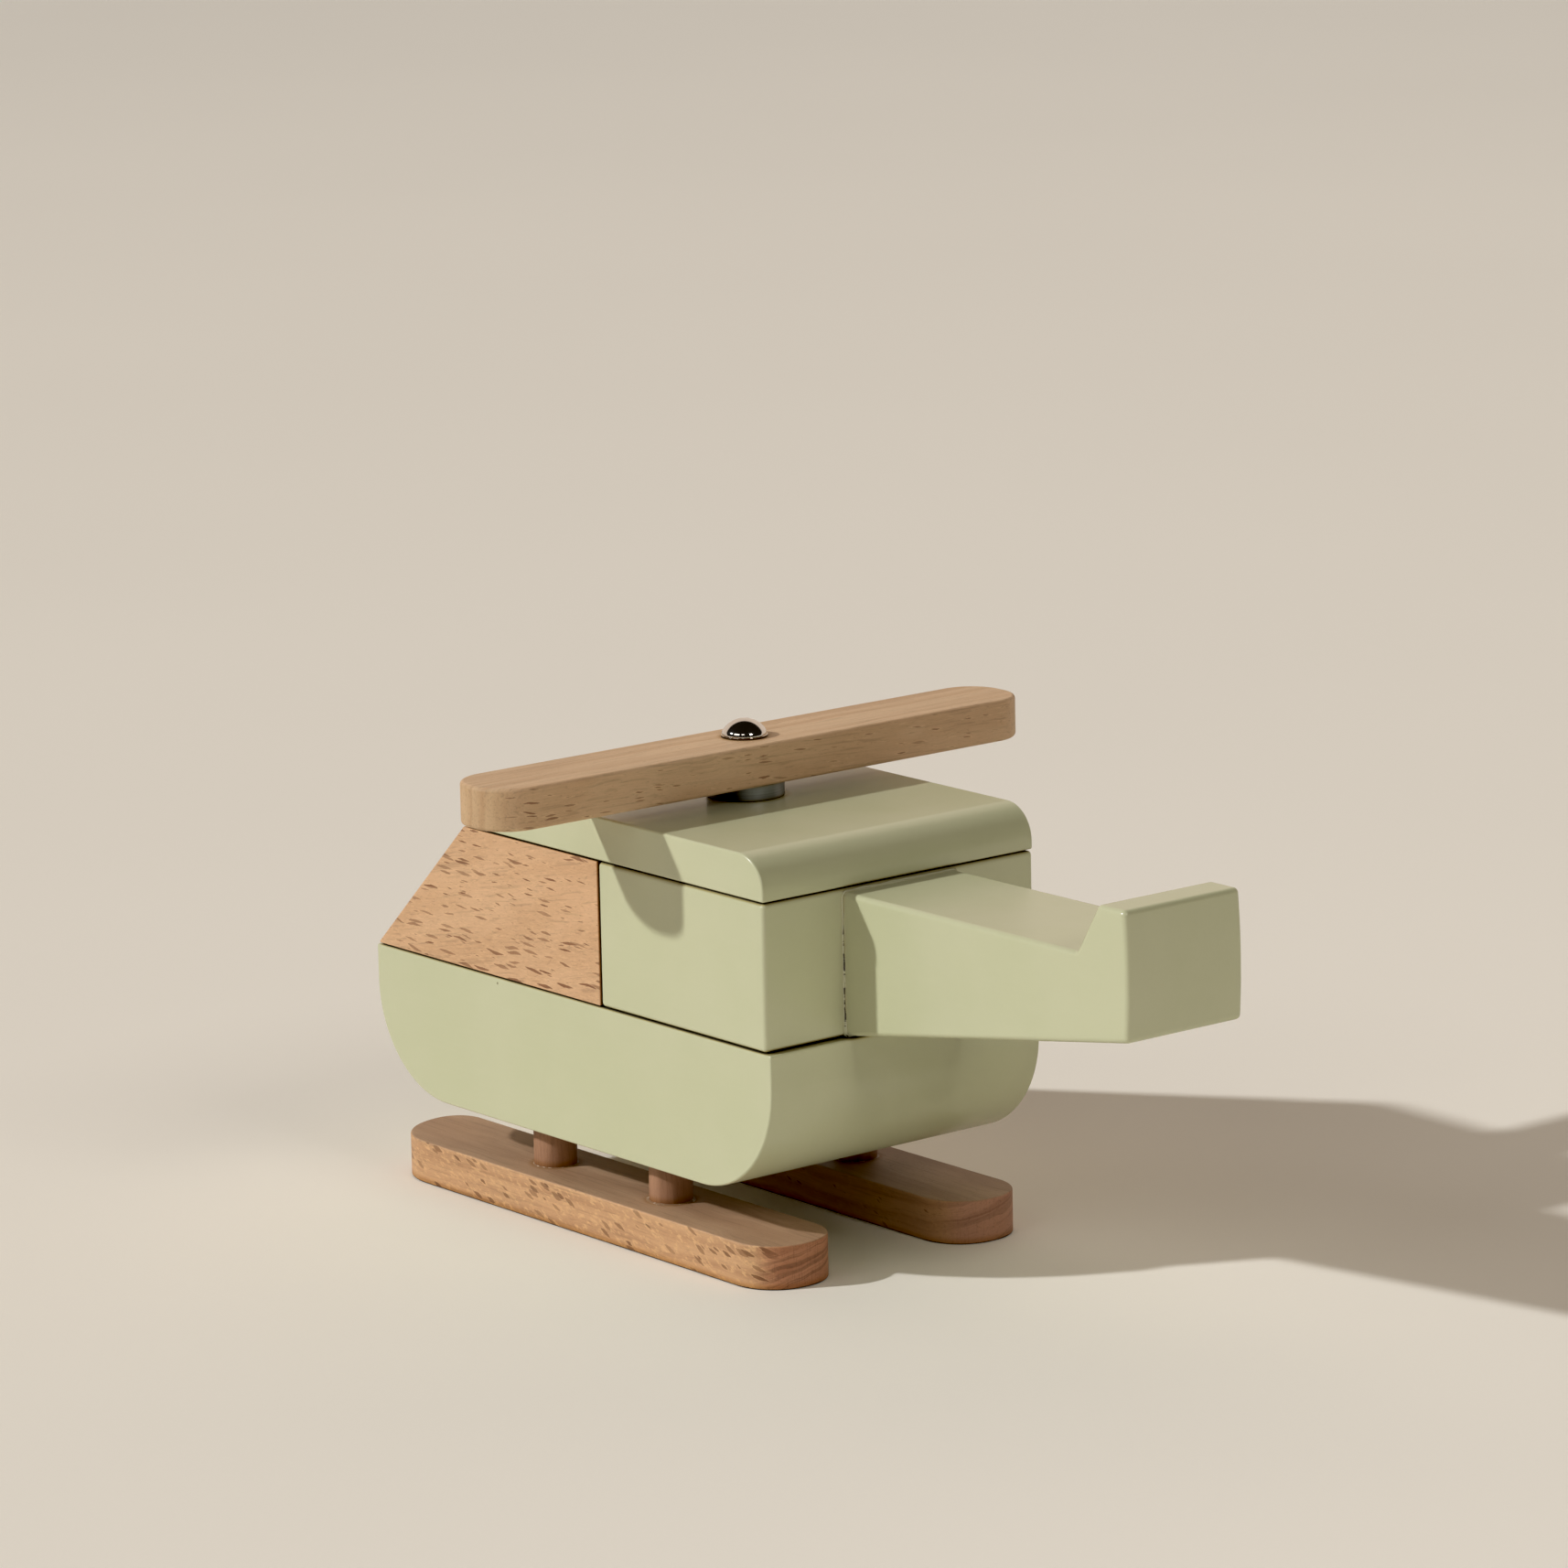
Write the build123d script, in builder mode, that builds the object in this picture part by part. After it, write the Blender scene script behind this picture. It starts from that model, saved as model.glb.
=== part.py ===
from build123d import *
import math
import os

# Take-apart wooden toy helicopter, in millimetres.
# +X points forward to the nose, +Y to port, +Z up. The origin is on the ground, under the
# middle of the whole toy's box. The hull, the cabin window, the middle block with its tail
# and the roof are separate blocks that magnets hold together. The rotor turns on the roof.

os.makedirs("parts", exist_ok=True)

# ---------------------------------------------------------------- driving dimensions

overall_length = 190.7
body_width = 62.0

# Landing gear: two flat bars, each on two dowel struts. The bars stand a little forward of the
# hull's middle, and their toes are rounded most on the outer side.
skid_length = 115.0
skid_width = 18.2
skid_height = 8.1
skid_spacing = 43.2
skid_lead = 1.15
skid_heel_radius = 8.6
skid_outer_toe_radius = 12.3
skid_inner_toe_radius = 5.6
skid_ease = 0.35
strut_radius = 4.0
strut_spacing = 34.6
strut_depth_in_skid = 5.0
strut_depth_in_hull = 10.0

# Body blocks, stacked from the hull up.
ground_clearance = 16.9
hull_length = 117.5
hull_height = 27.1
hull_end_radius = 20.5
hull_overhang = 1.3
hull_ease = 0.4
seam = 0.3
middle_height = 26.6
middle_length = 47.2
middle_ease = 0.8
window_top_length = 40.2
window_overhang = 0.5
window_ease = 0.25
roof_height = 8.0
roof_round = 6.5
roof_ease = 0.4

# Tail boom with its upswept fin block. It stands slightly askew, with its tip to starboard.
tail_width = 26.2
tail_skew = 0.6
tail_root_drop = 0.6
fin_height_over_boom = 9.0
fin_base_from_tip = 13.0
fin_front_lean = 5.5
fin_top_inset = 0.7
tail_end_height = 22.85
tail_ease = 1.0
dowel_radius = 4.0
dowel_length = 30.0
dowel_spacing = 13.0
dowel_ease = 0.6

# Rotor: a blade that turns on a steel axle, between a spacer and a domed cap.
rotor_setback = 0.4
blade_length = 122.6
blade_width = 16.4
blade_thickness = 7.75
blade_corner_radius = 7.3
blade_ease = 0.7
axle_radius = 2.0
axle_depth_in_roof = 7.0
axle_depth_in_cap = 1.9
running_clearance = 0.06
spacer_radius = 7.1
spacer_height = 3.0
spacer_bore_clearance = 0.1
metal_ease = 0.25
cap_gap = 0.1
cap_rim_radius = 4.25
cap_rim_height = 0.35
cap_rim_ease = 0.1
cap_dome_radius = 4.1
cap_dome_height = 2.85
cap_shoulder_radius = 1.5
cap_wall = 0.45
cap_grip_clearance = 0.01
grip_teeth = 6
grip_slot_length = 1.6
grip_slot_width = 0.5

# Disc magnets, sunk in blind pockets and closed with wooden plugs.
magnet_radius = 5.0
magnet_thickness = 3.0
plug_thickness = 2.0
magnet_offset = 18.0
glue_gap = 0.05

# ---------------------------------------------------------------- places

nose_x = overall_length / 2
tail_tip_x = -overall_length / 2
hull_rear_x = nose_x - hull_length
hull_middle_x = (nose_x + hull_rear_x) / 2
middle_rear_x = hull_rear_x + hull_overhang
middle_front_x = middle_rear_x + middle_length
window_rear_x = middle_front_x + seam
window_nose_x = nose_x - window_overhang
window_top_x = window_rear_x + window_top_length

hull_top_z = ground_clearance + hull_height
middle_base_z = hull_top_z + seam
middle_top_z = middle_base_z + middle_height
roof_base_z = middle_top_z + seam
roof_top_z = roof_base_z + roof_height

# The roof's front carries on the slope of the window.
slope_run = (window_nose_x - window_top_x) / middle_height
roof_front_x = window_top_x - slope_run * seam
roof_top_front_x = roof_front_x - slope_run * roof_height

rotor_x = (middle_rear_x + roof_front_x) / 2 - rotor_setback
blade_base_z = roof_top_z + spacer_height
blade_top_z = blade_base_z + blade_thickness
cap_base_z = blade_top_z + cap_gap
cap_rim_z = cap_base_z + cap_rim_height
cap_crown_z = cap_rim_z + cap_dome_height
cap_hollow_radius = cap_dome_radius - cap_wall

strut_places = [
    (hull_middle_x + strut_spacing / 2, "front"),
    (hull_middle_x - strut_spacing / 2, "rear"),
]
sides = [(1, "port"), (-1, "starboard")]
dowel_z = middle_base_z + middle_height / 2
dowel_places = [dowel_spacing / 2, -dowel_spacing / 2]

# Each pair of magnets is centred on the faces that it pulls together.
middle_magnets_x = (middle_rear_x + middle_front_x) / 2
window_base_magnets_x = (window_rear_x + window_nose_x) / 2
window_top_magnets_x = (window_rear_x + window_top_x) / 2
pocket_depth = magnet_thickness + plug_thickness
pocket_radius = magnet_radius + glue_gap
plug_height = plug_thickness + seam / 2


def across(x, z):
    """Two points at one station and height, one on each side of the toy."""
    return [(x, side * magnet_offset, z) for side, _ in sides]


def drilled_up(points):
    """Places on an underside, turned so that a hole there runs upward."""
    return [Location(point, (180, 0, 0)) for point in points]


# ---------------------------------------------------------------- hull

with BuildPart() as hull_block:
    with BuildSketch(Plane.XZ) as hull_side:
        with Locations((hull_middle_x, ground_clearance + hull_height / 2)):
            Rectangle(hull_length, hull_height)
        fillet(hull_side.vertices().group_by(Axis.Y)[0], hull_end_radius)
    extrude(amount=body_width / 2, both=True)
    fillet(hull_block.edges(), hull_ease)
    with Locations(*across(middle_magnets_x, hull_top_z), *across(window_base_magnets_x, hull_top_z)):
        Hole(pocket_radius, depth=pocket_depth)
    strut_heads = [
        (x, side * skid_spacing / 2, ground_clearance) for x, _ in strut_places for side, _ in sides
    ]
    with Locations(*drilled_up(strut_heads)):
        Hole(strut_radius + glue_gap, depth=strut_depth_in_hull)
hull_block.part.label = "hull_block"
export_step(hull_block.part, "parts/hull_block.step")

# ---------------------------------------------------------------- skids and struts

skid_heel_x = hull_middle_x + skid_lead - skid_length / 2
skid_toe_x = skid_heel_x + skid_length
skid_corner_radii = [
    skid_heel_radius,
    skid_inner_toe_radius,
    skid_outer_toe_radius,
    skid_heel_radius,
]

for side, side_name in sides:
    skid_y = side * skid_spacing / 2
    inner_y = skid_y - side * skid_width / 2
    outer_y = skid_y + side * skid_width / 2
    with BuildPart() as skid:
        with BuildSketch(Plane.XY):
            with BuildLine():
                FilletPolyline(
                    (skid_heel_x, inner_y),
                    (skid_toe_x, inner_y),
                    (skid_toe_x, outer_y),
                    (skid_heel_x, outer_y),
                    radius=skid_corner_radii,
                    close=True,
                )
            make_face()
        extrude(amount=skid_height)
        fillet(skid.faces().sort_by(Axis.Z)[-1].edges(), skid_ease)
        fillet(skid.faces().sort_by(Axis.Z)[0].edges(), skid_ease)
        with Locations(*[(x, skid_y, skid_height) for x, _ in strut_places]):
            Hole(strut_radius + glue_gap, depth=strut_depth_in_skid)
    skid.part.label = f"skid_{side_name}"
    export_step(skid.part, f"parts/skid_{side_name}.step")

    for strut_x, strut_name in strut_places:
        strut_base_z = skid_height - strut_depth_in_skid
        strut_top_z = ground_clearance + strut_depth_in_hull
        with BuildPart() as strut:
            with BuildSketch(Plane.XY.offset(strut_base_z)):
                with Locations((strut_x, skid_y)):
                    Circle(strut_radius)
            extrude(amount=strut_top_z - strut_base_z)
            chamfer(strut.edges(), dowel_ease)
        strut.part.label = f"strut_{strut_name}_{side_name}"
        export_step(strut.part, f"parts/strut_{strut_name}_{side_name}.step")

# ---------------------------------------------------------------- cabin window block

with BuildPart() as window_block:
    with BuildSketch(Plane.XZ):
        with BuildLine():
            Polyline(
                (window_rear_x, middle_base_z),
                (window_nose_x, middle_base_z),
                (window_top_x, middle_top_z),
                (window_rear_x, middle_top_z),
                close=True,
            )
        make_face()
    extrude(amount=body_width / 2, both=True)
    fillet(window_block.edges(), window_ease)
    with Locations(*across(window_top_magnets_x, middle_top_z)):
        Hole(pocket_radius, depth=pocket_depth)
    with Locations(*drilled_up(across(window_base_magnets_x, middle_base_z))):
        Hole(pocket_radius, depth=pocket_depth)
window_block.part.label = "window_block"
export_step(window_block.part, "parts/window_block.step")

# ---------------------------------------------------------------- middle block

with BuildPart() as middle_block:
    with BuildSketch(Plane.XY.offset(middle_base_z)):
        with Locations((middle_magnets_x, 0)):
            Rectangle(middle_length, body_width)
    extrude(amount=middle_height)
    fillet(middle_block.edges(), middle_ease)
    with Locations(*across(middle_magnets_x, middle_top_z)):
        Hole(pocket_radius, depth=pocket_depth)
    with Locations(*drilled_up(across(middle_magnets_x, middle_base_z))):
        Hole(pocket_radius, depth=pocket_depth)
    with Locations(*[Location((middle_rear_x, y, dowel_z), (0, -90, 0)) for y in dowel_places]):
        Hole(dowel_radius + glue_gap, depth=dowel_length / 2)
middle_block.part.label = "middle_block"
export_step(middle_block.part, "parts/middle_block.step")

# ---------------------------------------------------------------- tail boom and its dowels

boom_top_z = middle_top_z - tail_root_drop
fin_top_z = boom_top_z + fin_height_over_boom
fin_base_x = tail_tip_x + fin_base_from_tip
tail_end_base_z = fin_top_z - tail_end_height
tail_belly_z = (tail_end_base_z + fin_top_z) / 2

with BuildPart() as tail_boom:
    with BuildSketch(Plane.XZ):
        with BuildLine():
            Polyline(
                (tail_tip_x + fin_top_inset, fin_top_z),
                (fin_base_x - fin_front_lean, fin_top_z),
                (fin_base_x, boom_top_z),
                (middle_rear_x, boom_top_z),
                (middle_rear_x, middle_base_z),
                (tail_tip_x + fin_top_inset / 2, tail_end_base_z),
            )
            ThreePointArc(
                (tail_tip_x + fin_top_inset / 2, tail_end_base_z),
                (tail_tip_x, tail_belly_z),
                (tail_tip_x + fin_top_inset, fin_top_z),
            )
        make_face()
    extrude(amount=tail_width, both=True)
    with BuildSketch(Plane.XY.offset(middle_base_z)):
        with BuildLine():
            Polyline(
                (middle_rear_x, tail_width / 2),
                (tail_tip_x, tail_width / 2 - tail_skew),
                (tail_tip_x, -tail_width / 2 - tail_skew),
                (middle_rear_x, -tail_width / 2),
                close=True,
            )
        make_face()
    extrude(amount=fin_top_z - middle_base_z, mode=Mode.INTERSECT)
    root_face = tail_boom.faces().sort_by(Axis.X)[-1]
    fillet(tail_boom.edges() - root_face.edges(), tail_ease)
    with Locations(*[Location((middle_rear_x, y, dowel_z), (0, 90, 0)) for y in dowel_places]):
        Hole(dowel_radius + glue_gap, depth=dowel_length / 2)
tail_boom.part.label = "tail_boom"
export_step(tail_boom.part, "parts/tail_boom.step")

with BuildPart() as tail_dowels:
    with BuildSketch(Plane.YZ.offset(middle_rear_x - dowel_length / 2)):
        with Locations(*[(y, dowel_z) for y in dowel_places]):
            Circle(dowel_radius)
    extrude(amount=dowel_length)
    chamfer(tail_dowels.edges().filter_by(GeomType.CIRCLE), dowel_ease)
tail_dowels.part.label = "tail_dowels"
export_step(tail_dowels.part, "parts/tail_dowels.step")

# ---------------------------------------------------------------- roof

with BuildPart() as roof_block:
    with BuildSketch(Plane.XZ) as roof_side:
        with BuildLine():
            Polyline(
                (middle_rear_x, roof_base_z),
                (roof_front_x, roof_base_z),
                (roof_top_front_x, roof_top_z),
                (middle_rear_x, roof_top_z),
                close=True,
            )
        make_face()
        fillet(roof_side.vertices().group_by(Axis.Y)[-1], roof_round)
    extrude(amount=body_width / 2, both=True)
    fillet(roof_block.edges(), roof_ease)
    with Locations((rotor_x, 0, roof_top_z)):
        Hole(axle_radius, depth=axle_depth_in_roof)
    roof_pockets = across(middle_magnets_x, roof_base_z) + across(window_top_magnets_x, roof_base_z)
    with Locations(*drilled_up(roof_pockets)):
        Hole(pocket_radius, depth=pocket_depth)
roof_block.part.label = "roof_block"
export_step(roof_block.part, "parts/roof_block.step")

# ---------------------------------------------------------------- rotor

with BuildPart() as rotor_spacer:
    with BuildSketch(Plane.XY.offset(roof_top_z)):
        with Locations((rotor_x, 0)):
            Circle(spacer_radius)
            Circle(axle_radius + spacer_bore_clearance, mode=Mode.SUBTRACT)
    extrude(amount=spacer_height)
    fillet(rotor_spacer.edges().filter_by(GeomType.CIRCLE).sort_by(SortBy.RADIUS)[-2:], metal_ease)
rotor_spacer.part.label = "rotor_spacer"
export_step(rotor_spacer.part, "parts/rotor_spacer.step")

with BuildPart() as rotor_blade:
    with BuildSketch(Plane.XY.offset(blade_base_z)):
        with Locations((rotor_x, 0)):
            RectangleRounded(blade_width, blade_length, blade_corner_radius)
    extrude(amount=blade_thickness)
    fillet(rotor_blade.faces().sort_by(Axis.Z)[-1].edges(), blade_ease)
    fillet(rotor_blade.faces().sort_by(Axis.Z)[0].edges(), blade_ease)
    with Locations((rotor_x, 0, blade_top_z)):
        Hole(axle_radius + running_clearance)
rotor_blade.part.label = "rotor_blade"
export_step(rotor_blade.part, "parts/rotor_blade.step")

axle_base_z = roof_top_z - axle_depth_in_roof
axle_top_z = cap_base_z + axle_depth_in_cap

with BuildPart() as rotor_axle:
    with BuildSketch(Plane.XY.offset(axle_base_z)):
        with Locations((rotor_x, 0)):
            Circle(axle_radius)
    extrude(amount=axle_top_z - axle_base_z)
    chamfer(rotor_axle.edges().filter_by(GeomType.CIRCLE), metal_ease)
rotor_axle.part.label = "rotor_axle"
export_step(rotor_axle.part, "parts/rotor_axle.step")

# The cap is a pressed metal dome with a rolled rim. Its crown and its rounder shoulder are two
# arcs that meet smoothly. A toothed spring disc inside it bites on the axle.
shoulder_reach = cap_dome_radius - cap_shoulder_radius
cap_crown_radius = (shoulder_reach**2 + cap_dome_height**2 - cap_shoulder_radius**2) / (
    2 * (cap_dome_height - cap_shoulder_radius)
)
shoulder_middle = (rotor_x + shoulder_reach, cap_rim_z)
crown_middle = (rotor_x, cap_crown_z - cap_crown_radius)
shoulder_turn = math.degrees(math.atan2(cap_crown_radius - cap_dome_height, shoulder_reach))

with BuildPart() as rotor_cap:
    with BuildSketch(Plane.XZ):
        with BuildLine():
            shoulder = CenterArc(shoulder_middle, cap_shoulder_radius, 0, shoulder_turn)
            crown = CenterArc(crown_middle, cap_crown_radius, shoulder_turn, 90 - shoulder_turn)
            inner_crown = CenterArc(
                crown_middle, cap_crown_radius - cap_wall, shoulder_turn, 90 - shoulder_turn
            )
            inner_shoulder = CenterArc(
                shoulder_middle, cap_shoulder_radius - cap_wall, 0, shoulder_turn
            )
            Line(crown @ 1, inner_crown @ 1)
            Line(shoulder @ 0, inner_shoulder @ 0)
        make_face()
    revolve(axis=Axis((rotor_x, 0, 0), (0, 0, 1)))
    with BuildSketch(Plane.XY.offset(cap_base_z)):
        with Locations((rotor_x, 0)):
            Circle(cap_rim_radius)
            Circle(cap_hollow_radius, mode=Mode.SUBTRACT)
    extrude(amount=cap_rim_height)
    rim_edges = rotor_cap.edges().filter_by(GeomType.CIRCLE)
    fillet([edge for edge in rim_edges if abs(edge.radius - cap_rim_radius) < 0.001], cap_rim_ease)
rotor_cap.part.label = "rotor_cap"
export_step(rotor_cap.part, "parts/rotor_cap.step")

with BuildPart() as cap_grip:
    with BuildSketch(Plane.XY.offset(cap_base_z)):
        with Locations((rotor_x, 0)):
            Circle(cap_hollow_radius)
            Circle(axle_radius + cap_grip_clearance, mode=Mode.SUBTRACT)
        with Locations((rotor_x, 0)):
            with PolarLocations(axle_radius, grip_teeth):
                Rectangle(grip_slot_length, grip_slot_width, mode=Mode.SUBTRACT)
    extrude(amount=cap_rim_height)
cap_grip.part.label = "cap_grip"
export_step(cap_grip.part, "parts/cap_grip.step")

# ---------------------------------------------------------------- magnets and plugs

# Each entry is a block, the pockets in its upper face and the pockets in its underside.
magnet_sets = [
    (
        "hull",
        across(middle_magnets_x, hull_top_z) + across(window_base_magnets_x, hull_top_z),
        [],
    ),
    (
        "middle",
        across(middle_magnets_x, middle_top_z),
        across(middle_magnets_x, middle_base_z),
    ),
    (
        "window",
        across(window_top_magnets_x, middle_top_z),
        across(window_base_magnets_x, middle_base_z),
    ),
    ("roof", [], roof_pockets),
]

for block_name, upper_pockets, lower_pockets in magnet_sets:
    # A pocket's own axis points out of its mouth, so depths in it are negative.
    mouths = [Location(point) for point in upper_pockets] + drilled_up(lower_pockets)

    with BuildPart() as magnets:
        with Locations(*[mouth * Location((0, 0, -pocket_depth)) for mouth in mouths]):
            Cylinder(magnet_radius, magnet_thickness, align=(Align.CENTER, Align.CENTER, Align.MIN))
        chamfer(magnets.edges().filter_by(GeomType.CIRCLE), metal_ease)
    magnets.part.label = f"{block_name}_magnets"
    export_step(magnets.part, f"parts/{block_name}_magnets.step")

    with BuildPart() as plugs:
        with Locations(*[mouth * Location((0, 0, -plug_thickness)) for mouth in mouths]):
            Cylinder(magnet_radius, plug_height, align=(Align.CENTER, Align.CENTER, Align.MIN))
    plugs.part.label = f"{block_name}_plugs"
    export_step(plugs.part, f"parts/{block_name}_plugs.step")
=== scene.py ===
import math

import bmesh
import bpy
from mathutils import Matrix, Vector, noise


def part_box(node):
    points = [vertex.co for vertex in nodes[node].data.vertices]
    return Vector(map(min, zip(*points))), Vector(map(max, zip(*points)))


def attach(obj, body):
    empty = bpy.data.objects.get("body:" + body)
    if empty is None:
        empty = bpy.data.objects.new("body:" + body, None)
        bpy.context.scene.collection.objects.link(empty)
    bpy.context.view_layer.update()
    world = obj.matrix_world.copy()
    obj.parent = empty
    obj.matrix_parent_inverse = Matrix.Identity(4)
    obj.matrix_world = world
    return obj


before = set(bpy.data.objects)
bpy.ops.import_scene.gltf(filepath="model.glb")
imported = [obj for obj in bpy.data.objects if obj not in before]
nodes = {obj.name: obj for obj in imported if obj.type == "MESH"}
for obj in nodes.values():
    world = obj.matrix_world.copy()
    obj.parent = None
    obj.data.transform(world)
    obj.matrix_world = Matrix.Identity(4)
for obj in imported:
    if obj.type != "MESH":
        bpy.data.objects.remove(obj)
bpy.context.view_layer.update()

# Looks for the wooden toy helicopter: painted and bare beech, a steel axle and a chrome cap.
# Lengths are metres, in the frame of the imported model: +X to the nose, +Y to port, +Z up.

mm = 0.001

# ---------------------------------------------------------------- driving values

# The camera stands behind the toy, on its port side.
camera_place = Vector((-0.958457, 0.775308, 0.350164))
camera_target = Vector((0.019535, -0.006596, 0.080528))
camera_roll = -0.0207
camera_lens = 162.49
sensor_width = 36.0
camera_range = (0.05, 100.0)

# One small bright lamp stands far away. A pale sweep rises behind the toy to a pale ceiling, and
# the camera's side of the room is dark but for three soft boxes.
key_direction = Vector((0.382, 0.749, 0.541))
key_strength = 2.26
key_colour = (1.0, 1.0, 1.0)
key_spread = math.radians(2.2)
sweep_side = Vector((0.620, -0.496, -0.608))
sweep_light = (0.76, 0.62, 0.50)
ceiling_direction = Vector((0.36, -0.29, 0.887))
ceiling_light = 0.124
ceiling_colour = (1.0, 0.82, 0.66)
ceiling_size = (3.0, 2.2)
room_light = (0.02, 0.017, 0.014)

# Each soft box has a direction, a width, a height, and its light on a surface that faces it.
box_distance = 2.5
box_colour = (1.0, 0.93, 0.86)
soft_boxes = [
    (Vector((-0.109, 0.821, 0.563)), 1.15, 0.75, 0.10),
    (Vector((-0.545, 0.578, 0.607)), 0.50, 0.60, 0.03),
    (Vector((-0.821, 0.010, 0.571)), 0.50, 0.55, 0.178),
]

floor_size = 40.0
floor_colour = (0.89, 0.86, 0.785)
black_level = 0.008

sage = (0.556, 0.568, 0.374)
sage_pale = (0.605, 0.606, 0.430)
sage_deep = (0.540, 0.556, 0.358)
bare_edge = (0.68, 0.61, 0.45)
pinhole_brown = (0.12, 0.10, 0.05)
pinhole_radius = 0.34 * mm
pinhole_floor_radius = 0.12 * mm
pinhole_from_nose = 37.7 * mm
pinhole_from_top = 1.0 * mm
crack_half_width = 0.20 * mm
crack_dark_half_width = 0.13 * mm
crack_fade = 3.0 * mm

# Painted shade darkens the colour where a facing surface is within its reach. Edges wear over their
# own widths, and paint edges also get a painted highlight there.
painted_seam_shade = (0.022, 0.014, 0.006)
painted_shade_tint = (0.74, 0.60, 0.34)
gap_reach = 2.0 * mm
metal_gap_reach = 0.9 * mm
wood_edge = 0.7 * mm
paint_edge = 0.9 * mm

# Painted reflections on the metal: nearly black on one side of the spacer, and dark brown round the
# foot of the cap, where it mirrors the shaded blade.
painted_dark_reflection = (0.030, 0.022, 0.018)
painted_rim_reflection = (0.070, 0.032, 0.018)
rim_reflection_height = 0.26 * mm

glue_pale = (0.66, 0.56, 0.44)
glue_brown = (0.30, 0.18, 0.10)


# ---------------------------------------------------------------- shader graph helper


class Graph:
    """Adds shader nodes to one tree. An input is a number, a tuple or another node's output."""

    def __init__(self, tree):
        self.tree = tree
        self.tree.nodes.clear()

    def node(self, kind, inputs=None, **settings):
        made = self.tree.nodes.new("ShaderNode" + kind)
        for key, value in settings.items():
            setattr(made, key, value)
        for key, value in (inputs or {}).items():
            if isinstance(value, bpy.types.NodeSocket):
                self.tree.links.new(value, made.inputs[key])
            else:
                made.inputs[key].default_value = value
        return made

    def math(self, operation, a, b=0.0):
        return self.node("Math", {0: a, 1: b}, operation=operation).outputs[0]

    def add(self, a, b):
        return self.math("ADD", a, b)

    def times(self, a, b):
        return self.math("MULTIPLY", a, b)

    def dot(self, a, b):
        made = self.node("VectorMath", {0: a, 1: tuple(b)}, operation="DOT_PRODUCT")
        return made.outputs["Value"]

    def join(self, x, y, z):
        return self.node("CombineXYZ", {0: x, 1: y, 2: z}).outputs[0]

    def step(self, value, low, high):
        """0 below low and 1 above high, smooth between. With low above high it falls instead."""
        inputs = {"Value": value, "From Min": low, "From Max": high}
        return self.node("MapRange", inputs, interpolation_type="SMOOTHSTEP").outputs["Result"]

    def stretch(self, frame_axes, sizes, shift=0.0):
        """Coordinates along three board axes, each divided by its own size."""
        parts = [self.math("DIVIDE", axis, size) for axis, size in zip(frame_axes, sizes)]
        return self.join(self.add(parts[0], shift), parts[1], parts[2])

    def pattern(self, frame_axes, sizes, shift=0.0, detail=2.0, roughness=0.5):
        """Noise from 0 to 1 with lumps of these sizes along the axes, or of one size all round."""
        if not isinstance(sizes, tuple):
            sizes = (sizes, sizes, sizes)
        inputs = {
            "Vector": self.stretch(frame_axes, sizes, shift),
            "Scale": 1.0,
            "Detail": detail,
            "Roughness": roughness,
        }
        return self.node("TexNoise", inputs).outputs[0]

    def mix(self, factor, a, b, mode="MIX"):
        inputs = {"Factor": factor, 6: a, 7: b}
        made = self.node("Mix", None, data_type="RGBA", blend_type=mode)
        for key, value in inputs.items():
            socket = made.inputs[0] if key == "Factor" else made.inputs[key]
            if isinstance(value, bpy.types.NodeSocket):
                self.tree.links.new(value, socket)
            else:
                socket.default_value = (*value, 1.0) if isinstance(value, tuple) else value
        return made.outputs[2]

    def scaled(self, colour, factor):
        """A colour made lighter or darker by a factor near 1."""
        return self.mix(1.0, colour, self.join(factor, factor, factor), "MULTIPLY")


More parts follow.
